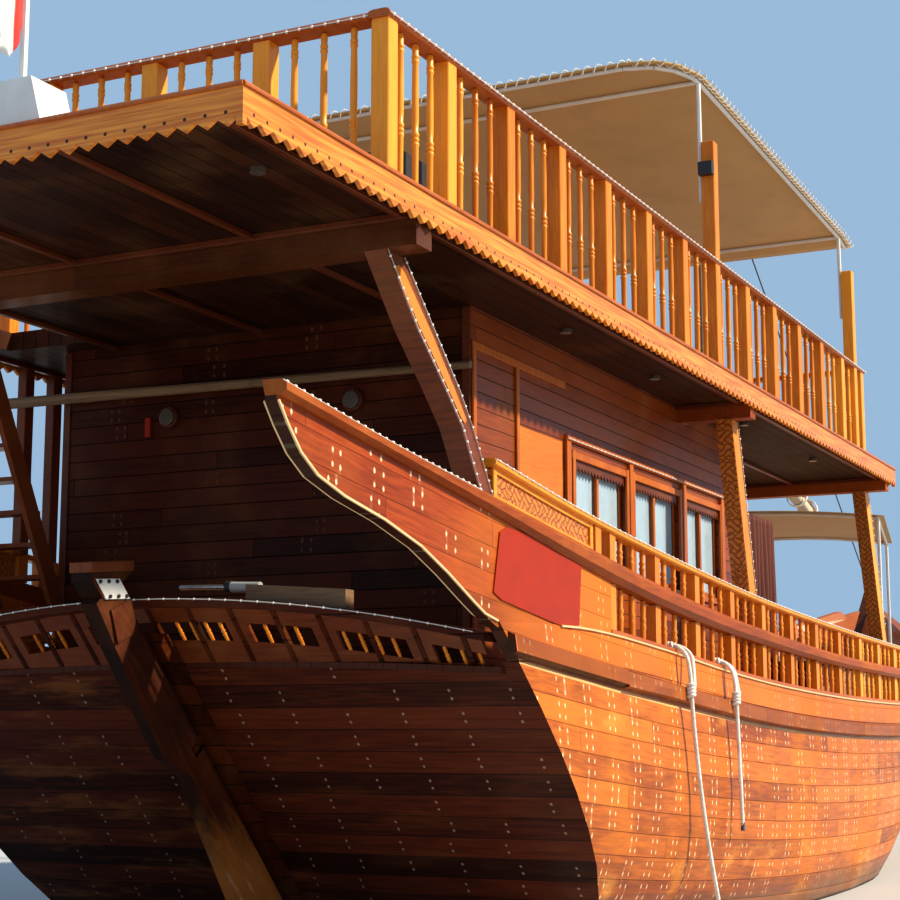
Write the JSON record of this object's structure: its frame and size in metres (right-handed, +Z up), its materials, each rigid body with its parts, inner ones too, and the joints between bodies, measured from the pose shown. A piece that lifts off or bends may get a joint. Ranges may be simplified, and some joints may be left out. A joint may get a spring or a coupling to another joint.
{
  "type": "dhow sailing boat",
  "caption": "Wooden dhow with raked transom, sweeping quarter boards, rudder, deckhouse, balustraded sun deck with canopy, mast with furled sail, afloat on its whole hull.",
  "frame": {"origin": "on the waterline, amidships, on the centreline of the boat", "axes": "+X towards the bow, +Y to port, +Z up; Z = 0 is the water surface"},
  "size_m": [24.482, 5.6513, 12.05],
  "materials": {
    "varnished_planks": "satin varnish over planks",
    "dark_timber": "dark oiled timber",
    "rail_varnish": "glossy golden varnish",
    "red_timber": "red-brown varnish",
    "deck_planks": "worn deck planks",
    "weathered_wood": "bare weathered wood",
    "canvas": "beige canvas",
    "curtain_cloth": "dark red cloth",
    "painted_steel": "white paint",
    "dark_metal": "dark grey paint",
    "bronze": "cast bronze",
    "window_glass": "sliding panes",
    "white_paint": "white paint",
    "flag_cloth": "green, white and red cloth",
    "rope_fibre": "white laid rope"
  },
  "bodies": {
    "boat": {"hull": "varnished_planks", "keel_stem_sternpost": "dark_timber", "main_deck": "deck_planks", "sheer_board_stbd": "varnished_planks", "sheer_board_port": "varnished_planks", "heavy_rail_stbd": "red_timber", "heavy_rail_port": "red_timber", "lower_balusters_stbd": "rail_varnish", "lower_balusters_port": "rail_varnish", "hand_rail_stbd": "rail_varnish", "hand_rail_port": "rail_varnish", "taffrail": "dark_timber", "beam_aft": "red_timber", "beam_mid": "red_timber", "beam_fore": "red_timber", "house_wall_stbd": "red_timber", "house_wall_port": "red_timber", "house_wall_aft": "dark_timber", "house_wall_fore": "red_timber", "window_glass_stbd": "window_glass", "window_glass_port": "window_glass", "sun_deck": "deck_planks", "fascia": "rail_varnish", "stern_strut_stbd": "red_timber", "stern_strut_port": "red_timber", "carved_post_mid_stbd": "rail_varnish", "carved_post_mid_port": "rail_varnish", "carved_post_fore_stbd": "rail_varnish", "carved_post_fore_port": "rail_varnish", "cross_pole": "weathered_wood", "sun_rail_stbd": "rail_varnish", "sun_rail_port": "rail_varnish", "sun_rail_aft": "rail_varnish", "sun_rail_fore": "rail_varnish", "canopy": "canvas", "canopy_frame": "painted_steel", "fore_awning": "canvas", "awning_frame": "painted_steel", "curtain_stbd": "curtain_cloth", "curtain_port": "curtain_cloth", "stair": "rail_varnish", "steering_ram": "dark_metal", "mast": "rail_varnish", "forestay": "rope_fibre", "helm_console": "red_timber", "mooring_bitts": "red_timber", "flag_stand": "white_paint", "flag": "flag_cloth", "deck_chest": "dark_metal", "floodlight": "dark_metal", "rope_long": "rope_fibre", "rope_short": "rope_fibre"},
    "rudder": {"rudder": "dark_timber"},
    "propeller": {"propeller": "bronze"},
    "helm_wheel": {"helm_wheel": "rail_varnish"},
    "house_door_stbd": {"house_door_stbd": "rail_varnish"},
    "house_door_port": {"house_door_port": "rail_varnish"},
    "hatch_lid": {"hatch_lid": "rail_varnish"},
    "yard": {"yard": "weathered_wood", "furled_sail": "canvas"}
  },
  "joints": [
    {"name": "rudder_turn", "type": "hinge", "parent": "boat", "child": "rudder", "pos_m": [-9.16061, 0, 2.32926], "axis": [0.6947, 0, -0.7193], "range_deg": [-35, 35]},
    {"name": "propeller_spin", "type": "hinge", "parent": "boat", "child": "propeller", "pos_m": [-4.85, 0, -1.18], "axis": [1, 0, 0], "continuous": true},
    {"name": "helm_wheel_turn", "type": "hinge", "parent": "boat", "child": "helm_wheel", "pos_m": [0.5645, -0.3, 5.7], "axis": [1, 0, 0], "continuous": true},
    {"name": "door_stbd_swing", "type": "hinge", "parent": "boat", "child": "house_door_stbd", "pos_m": [-0.9905, -0.7, 3], "axis": [0, 0, -1], "range_deg": [0, 100]},
    {"name": "door_port_swing", "type": "hinge", "parent": "boat", "child": "house_door_port", "pos_m": [-0.9905, 0.7, 3], "axis": [0, 0, 1], "range_deg": [0, 100]},
    {"name": "hatch_lid_lift", "type": "hinge", "parent": "boat", "child": "hatch_lid", "pos_m": [7.27, 0, 2.6773], "axis": [0, -1, 0], "range_deg": [0, 100]},
    {"name": "yard_slew", "type": "hinge", "parent": "boat", "child": "yard", "pos_m": [3.25, 0, 6.38], "axis": [0, 0, 1], "range_deg": [-20, 20]}
  ]
}
